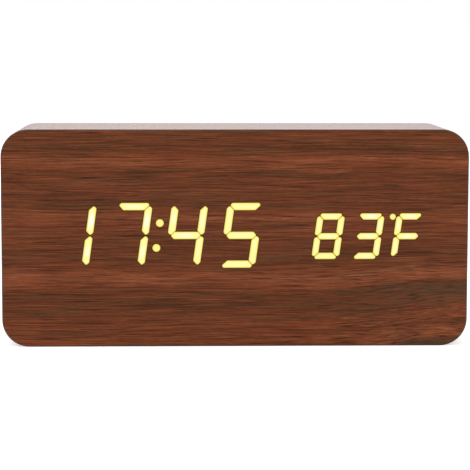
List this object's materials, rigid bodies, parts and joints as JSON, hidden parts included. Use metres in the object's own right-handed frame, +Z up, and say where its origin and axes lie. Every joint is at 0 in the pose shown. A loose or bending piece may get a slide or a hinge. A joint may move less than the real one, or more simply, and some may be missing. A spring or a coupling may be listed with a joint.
{
  "type": "digital led desk clock",
  "caption": "Wood-effect block clock with slanted seven-segment time and temperature display, rear buttons, power inlet and hinged battery door.",
  "frame": {"origin": "middle of the footprint, on the surface that the clock stands on", "axes": "+Z up, +X to the right as seen from the front, front face towards -Y"},
  "size_m": [0.15, 0.045, 0.07],
  "materials": {
    "wood_case": "satin wood-effect film with fine horizontal grain",
    "wood_film": "satin wood-effect film with fine horizontal grain",
    "raw_board": "raw fibreboard",
    "reflector": "white moulded",
    "light_guide": "milky clear resin",
    "lit_sign": "glowing through the film",
    "led": "light-emitting chip",
    "circuit_board": "green solder mask",
    "spacer": "turned",
    "board_screw": "zinc plated",
    "cover_screw": "black oxide",
    "chip": "moulded epoxy",
    "resistor": "glazed ceramic",
    "metal_can": "drawn can",
    "back_cover": "fine moulded texture",
    "battery_door": "fine moulded texture",
    "cell_sleeve": "plain printed sleeve",
    "contact": "nickel plated spring steel",
    "lead_red": "insulation",
    "lead_black": "insulation",
    "ribbon": "flat cable insulation",
    "plug": "natural nylon",
    "button": "moulded, slightly shiny",
    "switch": "moulded",
    "plunger": "moulded",
    "socket": "moulded",
    "socket_pin": "nickel plated",
    "buzzer": "moulded",
    "bead": "glazed bead"
  },
  "bodies": {
    "clock": {"case_shell": "wood_case", "front_veneer": "wood_film", "corner_blocks": "raw_board", "display_reflector": "reflector", "time_segment_guides": "light_guide", "temperature_segment_guides": "light_guide", "dot_guides": "light_guide", "led_chips": "led", "lit_hours": "lit_sign", "lit_minutes": "lit_sign", "lit_temperature": "lit_sign", "lit_unit": "lit_sign", "lit_colon": "lit_sign", "lit_degree": "lit_sign", "main_board": "circuit_board", "board_spacers": "spacer", "main_board_screws": "board_screw", "driver_chip": "chip", "control_chip": "chip", "digit_transistors": "chip", "chip_resistors": "resistor", "clock_crystal": "metal_can", "filter_capacitor": "metal_can", "back_cover": "back_cover", "cover_screws": "cover_screw", "battery_cell_1": "cell_sleeve", "battery_cell_2": "cell_sleeve", "battery_cell_3": "cell_sleeve", "battery_cell_4": "cell_sleeve", "lead_contacts": "contact", "far_contacts": "contact", "battery_lead_upper": "lead_red", "battery_lead_lower": "lead_black", "button_board": "circuit_board", "button_board_screws": "board_screw", "switch_bodies": "switch", "power_socket": "socket", "socket_pin": "socket_pin", "alarm_buzzer": "buzzer", "sound_sensor": "metal_can", "temperature_sensor": "bead", "ribbon_plugs": "plug", "ribbon_cable": "ribbon"},
    "battery_door": {"battery_door": "battery_door"},
    "set_button": {"set_button": "button", "set_plunger": "plunger"},
    "up_button": {"up_button": "button", "up_plunger": "plunger"},
    "down_button": {"down_button": "button", "down_plunger": "plunger"}
  },
  "joints": [
    {"name": "door_hinge", "type": "hinge", "parent": "clock", "child": "battery_door", "pos_m": [0.02765, 0.0205, 0.01095], "axis": [-1, 0, 0], "range_deg": [0, 90]},
    {"name": "set_press", "type": "slide", "parent": "clock", "child": "set_button", "axis": [0, -1, 0], "range_m": [0, 0.0004], "stiffness_N_per_m": 4000},
    {"name": "up_press", "type": "slide", "parent": "clock", "child": "up_button", "axis": [0, -1, 0], "range_m": [0, 0.0004], "stiffness_N_per_m": 4000},
    {"name": "down_press", "type": "slide", "parent": "clock", "child": "down_button", "axis": [0, -1, 0], "range_m": [0, 0.0004], "stiffness_N_per_m": 4000}
  ]
}
